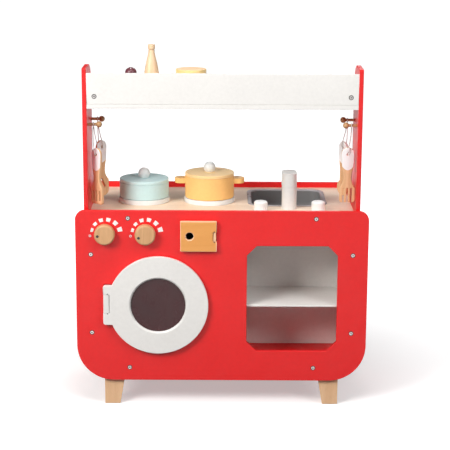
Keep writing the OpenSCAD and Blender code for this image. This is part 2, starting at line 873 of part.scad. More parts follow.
// Below the peg a loop stretches to the utensil's drop and twists with the utensil's turn
module loop(x, depth, drop, turn) color(white)
    translate([x, front_y + depth, peg_z])
        cord([for (p = loop_route)
            let (twist = turn * min(1, max(0, -p.z / loop_twist_height)))
            [sign(x) * p.x - p.y * sin(twist), p.y * cos(twist), p.z < 0 ? p.z * drop / hole_drop : p.z]]);

// Toys on the top shelf
module shaker() color([0.55, 0.15, 0.15])
    translate([shaker_x, front_y + item_depth, shelf_top]) {
        cylinder(r = 10, h = 8);
        cylinder(r = 12, h = 60 - eps);
        rotate_extrude()
            intersection() {
                translate([0, 58]) circle(r = 12);
                square([12, 80]);
            }
    }

module bottle() color(knob_wood)
    translate([bottle_x, front_y + item_depth, shelf_top])
        rotate_extrude()
            polygon([[0, 0], [15, 0], [16, 1], [16, 48], [15.4, 56], [14.2, 64], [11.6, 78],
                [8.4, 91], [6.6, 99], [6.2, 106], [7.2, 106.5], [7.2, 115], [6.4, 116], [0, 116]]);

module canister() color([1, 0.84, 0.49])
    translate([canister_x, front_y + item_depth, shelf_top])
        cylinder(r = 31, h = 67);

// Screws: a low domed head and a shank, all in one node
module screw(dome) {
    difference() {
        rotate_extrude()
            polygon([[0, 0], [head_radius, 0], [head_radius, 0.3], [head_radius - 1, dome], [0, dome]]);
        translate([-2, -0.4, dome - 0.4]) cube([4, 0.8, 1]);
        translate([-0.4, -2, dome - 0.4]) cube([0.8, 4, 1]);
    }
    translate([0, 0, -screw_length]) cylinder(r = shank_radius, h = screw_length + eps);
}

module assembly_screws() color(steel)
    translate([0, front_y, 0]) {
        for (place = panel_screw_places) {
            translate([place.x, 0, place.y]) rotate([90, 0, 0]) screw(head_rise);
            translate([place.x, cabinet_depth - head_sunk, place.y]) rotate([-90, 0, 0]) screw(head_rise);
        }
        for (side = [-1, 1]) {
            translate([side * fascia_screw_x, board, fascia_screw_z]) rotate([90, 0, 0]) screw(head_rise);
            for (depth = [leg_screw_depth, cabinet_depth - leg_screw_depth])
                translate([side * leg_screw_x, depth, floor_top - head_sunk]) screw(head_rise);
        }
    }

front_panel();
back_panel();
side_panel(-1);  // side_panel_left
side_panel(1);  // side_panel_right
side_liner(-1);  // side_liner_left
side_liner(1);  // side_liner_right
worktop();
floor_board();
mid_divider();
front_partition();
rear_partition();
cubby_shelf();
rear_shelf();
leg(-1, board);  // leg_front_left
leg(1, board);  // leg_front_right
leg(-1, back_depth - leg_thick);  // leg_back_left
leg(1, back_depth - leg_thick);  // leg_back_right
top_shelf();
shelf_fascia();
shelf_blocks();
sink_basin();
burner(burner_x[0]);  // burner_left
burner(burner_x[1]);  // burner_right
faucet_post();
peg(-1, peg_front);  // peg_left_front
peg(-1, peg_back);  // peg_left_back
peg(1, peg_front);  // peg_right_front
peg(1, peg_back);  // peg_right_back
assembly_screws();
dial_marks();
door_hinge_block();
flap_hinge_block();
hinge_pins();
catch_magnets();
door_ring();
door_window();
flap_door();
knob(knob_x[0]);  // knob_left
knob(knob_x[1]);  // knob_right
tap(-1);  // tap_left
tap(1);  // tap_right
faucet_spout();
pot_low();
pot_low_lid();
pot_low_knob();
pot_high();
pot_high_lid();
pot_high_knob();
turner();
spatula();
fork();
spoon();
loop(-front_utensil_x, peg_front, turner_drop, turner_turn);  // turner_loop
loop(-back_utensil_x, peg_back, hole_drop, spatula_turn);  // spatula_loop
loop(front_utensil_x, peg_front, hole_drop, fork_turn);  // fork_loop
loop(back_utensil_x, peg_back, hole_drop, spoon_turn);  // spoon_loop
shaker();
bottle();
canister();
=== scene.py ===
"""Looks of the toy kitchen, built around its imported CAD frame. Lengths are in metres."""
import json
import math

import bpy
import bmesh
from mathutils import Matrix, Vector


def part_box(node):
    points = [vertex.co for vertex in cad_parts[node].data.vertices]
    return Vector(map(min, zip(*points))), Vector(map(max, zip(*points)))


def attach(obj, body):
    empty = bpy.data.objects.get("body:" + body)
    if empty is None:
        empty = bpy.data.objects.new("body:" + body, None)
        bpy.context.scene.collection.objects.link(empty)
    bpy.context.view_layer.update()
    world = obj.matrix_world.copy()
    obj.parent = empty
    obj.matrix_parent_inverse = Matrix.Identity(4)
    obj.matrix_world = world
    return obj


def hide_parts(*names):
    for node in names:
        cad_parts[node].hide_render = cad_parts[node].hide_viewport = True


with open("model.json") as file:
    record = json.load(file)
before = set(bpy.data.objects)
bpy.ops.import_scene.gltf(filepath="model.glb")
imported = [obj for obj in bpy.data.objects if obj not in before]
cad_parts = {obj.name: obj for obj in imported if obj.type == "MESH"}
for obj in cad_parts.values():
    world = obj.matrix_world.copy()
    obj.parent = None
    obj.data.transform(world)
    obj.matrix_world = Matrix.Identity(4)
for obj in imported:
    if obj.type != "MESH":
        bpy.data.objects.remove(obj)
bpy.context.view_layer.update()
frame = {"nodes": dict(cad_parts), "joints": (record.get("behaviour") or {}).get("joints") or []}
nodes = frame["nodes"]

MM = 0.001
WELD = 2e-6               # CAD vertices closer than this are one
SHARP = math.radians(35)  # an edge that turns more than this is rounded


def link(name, data):
    """A new object in the scene."""
    item = bpy.data.objects.new(name, data)
    bpy.context.scene.collection.objects.link(item)
    return item


def foot(name):
    """The middle of a CAD node's underside."""
    low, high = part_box(name)
    return Vector(((low.x + high.x) / 2, (low.y + high.y) / 2, low.z))


def joint_place(name):
    """A point on a joint's axis."""
    return Vector(next(j for j in frame["joints"] if j["name"] == name)["pos_m"])


# ---------------------------------------------------------------- camera, light and floor

def make_camera():
    """A long lens in front of the cabinet, at the place and angles worked out from the photograph."""
    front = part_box("front_panel")[0].y
    away, height = 2.874, 1.0736
    pan, down, lean = -0.12, 13.4, 0.3
    data = bpy.data.cameras.new("camera")
    data.sensor_width = 36
    data.lens = 116
    camera = link("camera", data)
    camera.location = (0, front - away, height)
    turn = Matrix.Rotation(math.radians(pan), 3, "Z")
    tilt = Matrix.Rotation(math.radians(90 - down), 3, "X")
    roll = Matrix.Rotation(math.radians(lean), 3, "Z")
    camera.rotation_euler = (turn @ tilt @ roll).to_euler()
    bpy.context.scene.camera = camera


def area_light(name, place, aim, size, power, colour=(1, 1, 1)):
    """A round soft box at place, facing aim; size in metres, power in watts."""
    data = bpy.data.lights.new(name, "AREA")
    data.shape = "DISK"
    data.size = size
    data.energy = power
    data.color = colour
    light = link(name, data)
    light.location = place
    light.rotation_euler = (Vector(aim) - Vector(place)).to_track_quat("-Z", "Y").to_euler()


def make_studio():
    """Two soft boxes in front, weaker lights above and behind, a pale floor and walls far out."""
    middle = (0, 0, 0.4)
    area_light("key", (-1.6, -1.8, 1.75), middle, 1.2, 64, (1, 0.985, 0.965))
    area_light("fill", (1.7, -1.8, 1.75), middle, 1.2, 29, (0.98, 0.985, 1))
    area_light("top", (-0.1, -0.8, 2.2), (0, 0.05, 0.4), 0.9, 13)
    area_light("back", (0.4, 2.2, 2.1), middle, 1.3, 15)
    world = bpy.data.worlds.new("studio")
    world.use_nodes = True
    background = world.node_tree.nodes["Background"]
    background.inputs["Color"].default_value = (1, 1, 1, 1)
    background.inputs["Strength"].default_value = 0.09
    bpy.context.scene.world = world
    bpy.context.scene.view_settings.view_transform = "Standard"

    material, tree, shader = new_material("floor_white", Roughness=0.85, Emission_Strength=1.0)
    shader.inputs["Base Color"].default_value = (0.8, 0.8, 0.8, 1)
    distance = add(tree, "VectorMath", {0: coords(tree)}, operation="LENGTH").outputs["Value"]
    near, far, near_glow, far_glow = 0.3, 1.2, 0.4, 1.0
    glow = remap(tree, distance, near, far, near_glow, far_glow)
    tree.links.new(add(tree, "CombineColor", {0: glow, 1: glow, 2: glow}).outputs[0],
                   shader.inputs["Emission Color"])

    reach, height = 40, 25
    square = ((-1, -1), (1, -1), (1, 1), (-1, 1))
    corners = [(x * reach, y * reach, z) for z in (0, height) for x, y in square]
    sides = [(0, 4, 5, 1), (1, 5, 6, 2), (2, 6, 7, 3), (3, 7, 4, 0)]
    for name, faces in (("floor", [(0, 1, 2, 3)]), ("walls", sides)):
        mesh = bpy.data.meshes.new(name)
        mesh.from_pydata(corners, [], faces)
        mesh.materials.append(material)
        plane = link(name, mesh)
        plane.visible_diffuse = False
        plane.visible_glossy = name == "floor"


# ---------------------------------------------------------------- materials

def new_material(name, **constants):
    """A Principled material with constant sockets, underscores standing for spaces."""
    material = bpy.data.materials.new(name)
    material.use_nodes = True
    shader = material.node_tree.nodes["Principled BSDF"]
    for socket, value in constants.items():
        shader.inputs[socket.replace("_", " ")].default_value = value
    return material, material.node_tree, shader


def add(tree, kind, inputs=None, **settings):
    """A shader node with its settings, and its inputs linked or set."""
    node = tree.nodes.new("ShaderNode" + kind)
    for key, value in settings.items():
        setattr(node, key, value)
    for key, value in (inputs or {}).items():
        if isinstance(value, bpy.types.NodeSocket):
            tree.links.new(value, node.inputs[key])
        else:
            node.inputs[key].default_value = value
    return node


def coords(tree, scale=(1, 1, 1), turn=(0, 0, 0)):
    """Places in the piece's own metres, stretched and turned."""
    place = add(tree, "TexCoord").outputs["Object"]
    return add(tree, "Mapping", {"Vector": place, "Scale": scale, "Rotation": turn}).outputs["Vector"]


def noise(tree, vector, scale, detail=3, rough=0.5, distort=0):
    """Noise from 0 to 1; scale counts its patches in a metre."""
    return add(tree, "TexNoise", {"Vector": vector, "Scale": scale, "Detail": detail,
                                  "Roughness": rough, "Distortion": distort}).outputs["Fac"]


def math_node(tree, operation, a, b):
    """One arithmetic step on two sockets or numbers."""
    return add(tree, "Math", {0: a, 1: b}, operation=operation).outputs[0]


def blend_colours(tree, factor, first, second):
    """First colour at factor 0, second at 1."""
    return add(tree, "Mix", {0: factor, 6: first, 7: second}, data_type="RGBA").outputs[2]


def remap(tree, value, low, high, to_low, to_high):
    """Stretches the range from low to high onto another, and holds its ends."""
    return add(tree, "MapRange", {"Value": value, "From Min": low, "From Max": high,
                                  "To Min": to_low, "To Max": to_high}).outputs[0]


def bump(tree, height, strength, distance, normal=None):
    """A bumped normal, on top of another where one is given."""
    inputs = {"Height": height, "Strength": strength, "Distance": distance}
    if normal is not None:
        inputs["Normal"] = normal
    return add(tree, "Bump", inputs).outputs["Normal"]


def rgba(colour, gain=1.0):
    """A colour with its alpha, made lighter or darker by gain."""
    return tuple(min(1, c * gain) for c in colour) + (1,)


def paint(name, colour, rough=0.42, coat=0.15, peel=0.12):
    """Sprayed paint on board: slow shade drift, fine orange peel and a patchy satin."""
    material, tree, shader = new_material(name, Coat_Weight=coat, Coat_Roughness=0.3)
    place = coords(tree)
    drift = noise(tree, place, 9, 4)
    mottle = noise(tree, place, 160, 3)
    shade = remap(tree, math_node(tree, "ADD", drift, mottle), 0.6, 1.4, 0, 1)
    tree.links.new(blend_colours(tree, shade, rgba(colour, 0.95), rgba(colour, 1.04)),
                   shader.inputs["Base Color"])
    tree.links.new(remap(tree, noise(tree, place, 45, 4), 0.3, 0.7, rough - 0.06, rough + 0.07),
                   shader.inputs["Roughness"])
    waves = bump(tree, noise(tree, place, 120, 2), peel, 0.4 * MM)
    grains = bump(tree, noise(tree, place, 900, 2), peel, 0.2 * MM, waves)
    tree.links.new(grains, shader.inputs["Normal"])
    return material


def wood(name, light, dark, along, rough, rings, coat=0.08, strength=1.0):
    """Lacquered wood: growth bands stretched along the grain, fibres and short pores."""
    material, tree, shader = new_material(name, Coat_Weight=coat, Coat_Roughness=0.35)
    squeeze = {"X": (0.07, 1, 1), "Z": (1, 1, 0.07)}[along]
    place = coords(tree, squeeze)
    swell = noise(tree, place, rings, 2, 0.5, 0.6)
    bands = math_node(tree, "PINGPONG", math_node(tree, "MULTIPLY", swell, 9), 1)
    fibres = noise(tree, place, 620, 4, 0.65)
    pores = remap(tree, noise(tree, place, 1500, 2, 0.5), 0.6, 0.72, 0, 1)
    tone = math_node(tree, "ADD", math_node(tree, "MULTIPLY", bands, 0.55 * strength),
                     math_node(tree, "MULTIPLY", fibres, 0.45 * strength))
    colour = blend_colours(tree, tone, rgba(light), rgba(dark))
    depth = math_node(tree, "MULTIPLY", pores, 0.35 * strength)
    colour = blend_colours(tree, depth, colour, rgba(dark, 0.7))
    tree.links.new(colour, shader.inputs["Base Color"])
    tree.links.new(remap(tree, fibres, 0.3, 0.7, rough - 0.06, rough + 0.1), shader.inputs["Roughness"])
    ridges = bump(tree, fibres, 0.18, 0.3 * MM)
    tree.links.new(bump(tree, pores, -0.2, 0.3 * MM, ridges), shader.inputs["Normal"])
    return material


def plastic(name, colour, rough):
    """Moulded plastic: fine spark texture and faint flow shading."""
    material, tree, shader = new_material(name)
    place = coords(tree)
    flow = remap(tree, noise(tree, place, 22, 4), 0.3, 0.7, 0, 1)
    tree.links.new(blend_colours(tree, flow, rgba(colour, 0.97), rgba(colour, 1.03)),
                   shader.inputs["Base Color"])
    tree.links.new(remap(tree, noise(tree, place, 70, 3), 0.3, 0.7, rough - 0.05, rough + 0.08),
                   shader.inputs["Roughness"])
    tree.links.new(bump(tree, noise(tree, place, 1400, 2), 0.1, 0.2 * MM), shader.inputs["Normal"])
    return material


def metal(name, colour, rough):
    """Plated steel with fine marks and a few dull patches."""
    material, tree, shader = new_material(name, Metallic=1.0)
    place = coords(tree)
    marks = noise(tree, place, 1800, 3)
    patches = noise(tree, place, 260, 3)
    tree.links.new(blend_colours(tree, patches, rgba(colour, 0.8), rgba(colour, 1.1)),
                   shader.inputs["Base Color"])
    tree.links.new(remap(tree, marks, 0.3, 0.7, rough - 0.08, rough + 0.12), shader.inputs["Roughness"])
    tree.links.new(bump(tree, marks, 0.12, 0.1 * MM), shader.inputs["Normal"])
    return material


def smoked(name):
    """The washer door's dark window sheet, with faint hand marks in its gloss. It is opaque: its dark
    colour is the smoked sheet's own tint together with painted shade of the dark compartment behind it.
    """
    material, tree, shader = new_material(name, Coat_Weight=0.06, Coat_Roughness=0.08, IOR=1.36)
    place = coords(tree)
    haze = remap(tree, noise(tree, place, 12, 3), 0.3, 0.7, 0, 1)
    # Very dark base: the sheet's tint and painted shade of the compartment behind it.
    tree.links.new(blend_colours(tree, haze, (0.040, 0.008, 0.010, 1), (0.052, 0.012, 0.014, 1)),
                   shader.inputs["Base Color"])
    tree.links.new(remap(tree, noise(tree, place, 60, 5), 0.35, 0.7, 0.16, 0.32),
                   shader.inputs["Roughness"])
    return material


def braid(name, colour):
    """Braided cotton cord: crossing strands as a fine diagonal pattern, with painted shade darkening the
    grooves between them.
    """
    material, tree, shader = new_material(name, Roughness=0.85, Sheen_Weight=0.3)
    strands = []
    for tilt in (0.9, -0.9):
        place = coords(tree, (1, 1, 1), (tilt, 0.4, tilt))
        strands.append(add(tree, "TexWave", {"Vector": place, "Scale": 520.0, "Distortion": 1.2,
                                             "Detail": 1.0}).outputs["Fac"])
    weave = math_node(tree, "MAXIMUM", strands[0], strands[1])
    # The low parts of the weave are darker: painted shade in the grooves between the strands.
    tree.links.new(blend_colours(tree, weave, rgba(colour, 0.72), rgba(colour)),
                   shader.inputs["Base Color"])
    tree.links.new(bump(tree, weave, 0.5, 0.3 * MM), shader.inputs["Normal"])
    return material


RED = (0.80, 0.008, 0.009)
WHITE = (0.84, 0.82, 0.79)
AQUA = (0.55, 0.78, 0.79)
YELLOW = (0.98, 0.58, 0.20)
PALE_WOOD = (0.92, 0.60, 0.36)
PALE_GRAIN = (0.78, 0.46, 0.25)

# Materials by the names that the pieces use
M = {
    "red": paint("red_paint", RED, 0.44, 0.1),
    "white": paint("white_paint", WHITE, 0.45, 0.12),
    "gloss_white": paint("fittings_paint", WHITE, 0.36, 0.2, 0.08),
    "fitting": paint("tap_paint", (0.80, 0.83, 0.82), 0.36, 0.2, 0.08),
    # A darker copy of the fitting paint for the faucet: painted shade on its upright faces.
    "faucet": paint("shaded_faucet_paint", (0.69, 0.70, 0.68), 0.36, 0.2, 0.08),
    # Lighter copies of the pot paints for the lids: painted light on the lids' tops.
    "aqua_lit_lid": paint("aqua_paint_lit_copy", (0.63, 0.87, 0.88), 0.45, 0.15),
    "yellow_lit_lid": paint("yellow_paint_lit_copy", (1.0, 0.69, 0.33), 0.45, 0.15),
    "aqua": paint("aqua_paint", AQUA, 0.45, 0.15),
    "yellow": paint("yellow_paint", YELLOW, 0.45, 0.15),
    "canister": paint("canister_yellow", (0.98, 0.70, 0.30), 0.45, 0.15),
    "canister_top": wood("canister_wood", (0.98, 0.68, 0.40), (0.92, 0.60, 0.33), "X", 0.5, 30),
    "maroon": paint("maroon_paint", (0.13, 0.030, 0.042), 0.40, 0.2),
    "worktop": wood("worktop_board", (0.93, 0.75, 0.58), (0.84, 0.64, 0.47), "X", 0.48, 14, 0.1, 0.8),
    "leg": wood("leg_wood", PALE_WOOD, PALE_GRAIN, "Z", 0.5, 24),
    "peg": wood("peg_wood", (0.66, 0.40, 0.19), (0.50, 0.28, 0.12), "X", 0.45, 60),
    "utensil": wood("utensil_wood", (0.88, 0.56, 0.31), (0.68, 0.39, 0.19), "Z", 0.5, 60),
    "knob": wood("knob_wood", (0.72, 0.42, 0.21), (0.56, 0.30, 0.13), "Z", 0.42, 40),
    "flap": wood("flap_wood", (0.84, 0.38, 0.10), (0.76, 0.31, 0.07), "X", 0.45, 22, 0.06, 0.7),
    # A paler, pinker wood colour for all the flap's rounded edges, all round.
    "flap_edge": wood("flap_edge_wood", (0.98, 0.60, 0.36), (0.90, 0.50, 0.28), "X", 0.45, 22, 0.15, 0.6),
    "bottle": wood("bottle_wood", (0.90, 0.66, 0.43), (0.80, 0.54, 0.32), "Z", 0.45, 50),
    "sink": plastic("sink_plastic", (0.21, 0.21, 0.21), 0.38),
    # A lighter copy of the sink's grey plastic for the top of the rim: a painted highlight.
    "sink_rim": plastic("sink_rim_plastic", (0.42, 0.40, 0.42), 0.30),
    "dial": plastic("dial_print", (0.88, 0.87, 0.86), 0.5),
    # Black for the knob dots, and for painted shade: the discs under the screw heads and the dots in the
    # hinge dimples.
    "black": plastic("black_inlay_and_painted_shade", (0.012, 0.012, 0.012), 0.4),
    "steel": metal("screw_steel", (0.72, 0.68, 0.66), 0.34),
    "magnet": metal("magnet_plate", (0.60, 0.60, 0.62), 0.25),
    "window": smoked("smoked_window"),
    "cord": braid("loop_cord", (0.82, 0.81, 0.78)),
}


def dipped(name, wood_material, axis, line, colour):
    """Wood below a line and dip paint above it; the line sags round an upright axis."""
    material = wood_material.copy()
    material.name = name
    tree = material.node_tree
    shader = tree.nodes["Principled BSDF"]
    place = coords(tree)
    parts = add(tree, "SeparateXYZ", {0: place})
    offset = add(tree, "CombineXYZ", {0: math_node(tree, "SUBTRACT", parts.outputs[0], axis.x),
                                      1: math_node(tree, "SUBTRACT", parts.outputs[1], axis.y)})
    spread = add(tree, "VectorMath", {0: offset.outputs[0]}, operation="LENGTH").outputs["Value"]
    sag = math_node(tree, "MULTIPLY", math_node(tree, "POWER", spread, 2.0), -60.0)
    wobble = math_node(tree, "MULTIPLY", noise(tree, place, 130, 2), 1.2 * MM)
    level = math_node(tree, "ADD", math_node(tree, "ADD", parts.outputs[2], sag), wobble)
    mask = remap(tree, level, line, line + 0.6 * MM, 0, 1)
    old = shader.inputs["Base Color"].links[0].from_socket
    tree.links.new(blend_colours(tree, mask, old, rgba(colour)), shader.inputs["Base Color"])
    return material


def dress(material, *names):
    """Gives CAD nodes their material."""
    for name in names:
        mesh = nodes[name].data
        mesh.materials.clear()
        mesh.materials.append(material)


def even_normals(piece):
    """Shades a piece by its large faces, so its flats look flat and its rounded edges soft."""
    piece.modifiers.new("normals", "WEIGHTED_NORMAL").keep_sharp = False


def soften(width, *names):
    """Rounds the sharp edges of CAD nodes for show with modifiers; their meshes stay as they are."""
    for name in names:
        piece = nodes[name]
        weld = piece.modifiers.new("weld", "WELD")
        weld.merge_threshold = WELD
        bevel = piece.modifiers.new("bevel", "BEVEL")
        bevel.width = width
        bevel.segments = 3
        bevel.limit_method = "ANGLE"
        bevel.angle_limit = SHARP
        bevel.use_clamp_overlap = False
        even_normals(piece)


# ---------------------------------------------------------------- mesh helpers

def new_piece(name, mesh, material, body, replaced=()):
    """A mesh in the scene with its material, its body, its finish and the CAD nodes it stands for."""
    piece = link(name, mesh)
    mesh.materials.append(material)
    for polygon in mesh.polygons:
        polygon.use_smooth = True
    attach(piece, body)
    if replaced:
        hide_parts(*replaced)
    return piece


def face_loops(name, normal, shortest):
    """The closed outlines of a CAD node's flat face towards normal, without those of small bores."""
    work = bmesh.new()
    work.from_mesh(nodes[name].data)
    bmesh.ops.remove_doubles(work, verts=work.verts, dist=WELD)
    work.normal_update()
    reach = max(v.co.dot(normal) for v in work.verts)
    parallel, level = 0.9999, 0.02 * MM
    flat = dict.fromkeys(f for f in work.faces if f.normal.dot(normal) > parallel
                         and abs(f.calc_center_median().dot(normal) - reach) < level)
    following = {}
    for face in flat:
        for corner in face.loops:
            if not any(f in flat for f in corner.edge.link_faces if f is not face):
                following[corner.vert] = corner.link_loop_next.vert
    loops = []
    while following:
        vertex = next(iter(following))
        loop = []
        while vertex in following:
            loop.append(vertex.co.copy())
            vertex = following.pop(vertex)
        length = sum((a - b).length for a, b in zip(loop, loop[1:] + loop[:1]))
        if length > shortest:
            loops.append(loop)
    work.free()
    return loops


def filled(name, outlines, thick, edge):
    """A flat shape with rounded edges: closed outlines in the XY plane, filled and thickened about it."""
    curve = bpy.data.curves.new(name, "CURVE")
    curve.dimensions = "2D"
    curve.fill_mode = "BOTH"
    curve.extrude = thick / 2 - edge
    curve.bevel_depth = edge
    curve.bevel_resolution = 2
    curve.offset = -edge
    for outline in outlines:
        spline = curve.splines.new("POLY")
        spline.points.add(len(outline) - 1)
        spline.use_cyclic_u = True
        for point, (x, y) in zip(spline.points, outline):
            point.co = (x, y, 0, 1)
    shape = link(name, curve)
    mesh = bpy.data.meshes.new_from_object(shape.evaluated_get(bpy.context.evaluated_depsgraph_get()))
    bpy.data.objects.remove(shape)
    mesh.materials.clear()
    merge(mesh, 1e-6)
    return mesh


def edge_material(mesh, border, normal, flat):
    """A second material for the faces that turn away from normal."""
    mesh.materials.append(border)
    for polygon in mesh.polygons:
        polygon.material_index = 0 if abs(polygon.normal.dot(normal)) > flat else 1


def board(name, normal, material, body, edge=1.2 * MM, shortest=45 * MM, border=None):
    """A CAD board again with rounded edges: its own outlines, filled, thickened and eased all round."""
    normal = Vector(normal).normalized()
    across = normal.orthogonal().normalized()
    upwards = normal.cross(across)
    offsets = [v.co.dot(normal) for v in nodes[name].data.vertices]
    thick = max(offsets) - min(offsets)
    outlines = [[(point.dot(across), point.dot(upwards)) for point in loop]
                for loop in face_loops(name, normal, shortest)]
    mesh = filled(name + "_outline", outlines, thick, edge)
    place = Matrix((across, upwards, normal)).transposed().to_4x4()
    place.translation = normal * (max(offsets) - thick / 2)
    mesh.transform(place)
    piece = new_piece(name + "_board", mesh, material, body, [name])
    if border is not None:
        edge_material(mesh, border, normal, 0.6)
    even_normals(piece)


def clusters(items, neighbours):
    """Splits items into their groups of neighbours, in the same order each run."""
    rest, groups = dict.fromkeys(items), []
    while rest:
        group = [rest.popitem()[0]]
        for item in group:
            for other in neighbours(item):
                if other in rest:
                    del rest[other]
                    group.append(other)
        groups.append(group)
    return groups


def eased(name, width, material, body, shortest=45 * MM, border=None, fitted=None):
    """A copy of a CAD node with rounded edges, apart from those of small bores.

    The edges next to a fitted node stay sharp too, because that node turns against them.
    """
    low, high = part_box(fitted) if fitted else (Vector(), Vector())
    margin = 4 * MM if fitted else 0
    straight = math.radians(0.5)
    work = bmesh.new()
    work.from_mesh(nodes[name].data)
    bmesh.ops.remove_doubles(work, verts=work.verts, dist=WELD)
    bmesh.ops.dissolve_limit(work, angle_limit=straight, verts=work.verts, edges=work.edges)
    weights = work.edges.layers.float.new("bevel_weight_edge")
    sharp = [e for e in work.edges if len(e.link_faces) == 2 and e.calc_face_angle() > SHARP]
    for group in clusters(sharp, lambda edge: [e for v in edge.verts for e in v.link_edges]):
        if sum(edge.calc_length() for edge in group) > shortest:
            for edge in group:
                middle = (edge.verts[0].co + edge.verts[1].co) / 2
                inside = all(low[i] - margin < middle[i] < high[i] + margin for i in range(3))
                edge[weights] = float(edge.is_convex and not inside)
    mesh = bpy.data.meshes.new(name + "_eased")
    work.to_mesh(mesh)
    work.free()
    piece = new_piece(name + "_eased", mesh, material, body, [name])
    bevel = piece.modifiers.new("bevel", "BEVEL")
    bevel.width = width
    bevel.segments = 3
    bevel.limit_method = "WEIGHT"
    bevel.use_clamp_overlap = False
    if border is not None:
        edge_material(mesh, border, Vector((0, 1, 0)), 0.98)
        bevel.material = 1
    even_normals(piece)


def merge(mesh, distance):
    """Joins a mesh's vertices that are closer than distance, and turns its faces outwards."""
    work = bmesh.new()
    work.from_mesh(mesh)
    bmesh.ops.remove_doubles(work, verts=work.verts, dist=distance)
    bmesh.ops.recalc_face_normals(work, faces=work.faces)
    work.to_mesh(mesh)
    work.free()


def rounded(points, radius, steps=4):
    """An open outline with each inner corner replaced by a short arc."""
    path = [Vector(points[0])]
    for before, corner, after in zip(points, points[1:], points[2:]):
        before, corner, after = Vector(before), Vector(corner), Vector(after)
        towards, away = before - corner, after - corner
        cut = min(radius, towards.length * 0.45, away.length * 0.45)
        start, end = corner + towards.normalized() * cut, corner + away.normalized() * cut
        for i in range(steps + 1):
            t = i / steps
            path.append(start * (1 - t) ** 2 + corner * 2 * t * (1 - t) + end * t * t)
    path.append(Vector(points[-1]))
    return path


def lathe(name, profile, base, material, body, replaced=(), turns=72, up="Z"):
    """A turned piece: (radius, height) points round an axis through base."""
    tilt = {"Z": Matrix.Identity(3), "-Y": Matrix.Rotation(math.radians(90), 3, "X")}[up]
    rows = [[tilt @ Vector((p.x * math.cos(a), p.x * math.sin(a), p.y)) + Vector(base)
             for a in (2 * math.pi * i / turns for i in range(turns))] for p in profile if p.x > 1e-6]
    caps = (profile[0].x < 1e-6, profile[-1].x < 1e-6)
    return loft(name, rows, material, body, replaced, caps)


def loft(name, rows, material, body, replaced=(), caps=(True, True)):
    """A skin over rows of points that close on themselves, with flat ends where caps say so."""
    mesh = bpy.data.meshes.new(name)
    count = len(rows[0])
    faces = [(row + k, row + (k + 1) % count, row + count + (k + 1) % count, row + count + k)
             for row in range(0, (len(rows) - 1) * count, count) for k in range(count)]
    if caps[0]:
        faces.append(tuple(reversed(range(count))))
    if caps[1]:
        faces.append(tuple((len(rows) - 1) * count + k for k in range(count)))
    mesh.from_pydata([p for row in rows for p in row], [], faces)
    mesh.validate()
    piece = new_piece(name, mesh, material, body, replaced)
    even_normals(piece)
    return piece


def rounded_loop(low, high, radius, z, steps=8):
    """A level loop of points: a rectangle with round corners."""
    points = []
    for corner, (sx, sy) in enumerate([(1, 1), (-1, 1), (-1, -1), (1, -1)]):
        tip = Vector((high.x if sx > 0 else low.x, high.y if sy > 0 else low.y))
        centre = tip - Vector((sx, sy)) * radius
        for i in range(steps + 1):
            angle = math.pi / 2 * (corner + i / steps)
            points.append(Vector((centre.x + radius * math.cos(angle),
                                  centre.y + radius * math.sin(angle), z)))
    return points


# ---------------------------------------------------------------- pieces

def make_sink():
    """Pressed basin: a rolled rim on the worktop, straight walls and a round-edged floor; the top of the
    rim takes a lighter copy of the grey plastic as a painted highlight.
    """
    low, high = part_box("sink_basin")
    rim, corner, floor_edge = 9 * MM, 31 * MM, 12 * MM
    deep = low.z + 1.5 * MM
    rim_top = high.z

    def ring(inset, z):
        inset_low = Vector((low.x + inset, low.y + inset))
        inset_high = Vector((high.x - inset, high.y - inset))
        return rounded_loop(inset_low, inset_high, max(corner - inset, 3 * MM), z)

    rows = [ring(0, rim_top - 1.4 * MM), ring(0, rim_top - 0.6 * MM),
            ring(0.3 * MM, rim_top - 0.15 * MM), ring(0.9 * MM, rim_top),
            ring(rim - 2.5 * MM, rim_top), ring(rim - 1 * MM, rim_top - 0.4 * MM),
            ring(rim - 0.2 * MM, rim_top - 1.5 * MM), ring(rim, rim_top - 3 * MM),
            ring(rim, deep + floor_edge)]
    for i in range(1, 7):
        angle = math.pi / 2 * i / 6
        rows.append(ring(rim + floor_edge * (1 - math.cos(angle)),
                         deep + floor_edge * (1 - math.sin(angle))))
    basin = loft("sink_bowl", rows, M["sink"], "cabinet", ["sink_basin"], caps=(False, True))
    # The faces near the top of the rim take the lighter plastic: painted highlight where the rim faces the
    # light.
    basin.data.materials.append(M["sink_rim"])
    highlight_band = 2.4 * MM
    for polygon in basin.data.polygons:
        if polygon.center.z > rim_top - highlight_band:
            polygon.material_index = 1
    wall = basin.modifiers.new("wall", "SOLIDIFY")
    wall.thickness = 1.2 * MM
    wall.offset = -1


def make_bottle():
    """A turned bottle with a cap."""
    base = foot("bottle")
    side = [(16, 1.6), (16, 48), (15.4, 56), (14.2, 64), (11.6, 78), (8.4, 91), (6.6, 99), (6.2, 106)]
    body = [Vector((0, 0))] + rounded([(0.0144, 0)] + [(r * MM, z * MM) for r, z in side], 0.003, 4)
    body += [Vector((0.0057, 0.1065)), Vector((0, 0.1065))]
    lathe("bottle_body", body, base, M["bottle"], "bottle_toy", ["bottle"])
    cap = rounded([(0, 0.1066), (0.0072, 0.1066), (0.0072, 0.116), (0, 0.116)], 0.0011, 4)
    lathe("bottle_cap", cap, base, M["bottle"], "bottle_toy")


def make_canister():
    """A painted canister with a bare wooden lid."""
    base = foot("canister")
    body = rounded([(0, 0), (0.031, 0), (0.031, 0.067), (0, 0.067)], 0.0007, 3)
    lathe("canister_body", body, base, M["canister"], "canister_toy", ["canister"])
    lid = rounded([(0, 0.0665), (0.0304, 0.0665), (0.0304, 0.0672), (0, 0.0672)], 0.0003, 3)
    lathe("canister_lid", lid, base, M["canister_top"], "canister_toy")


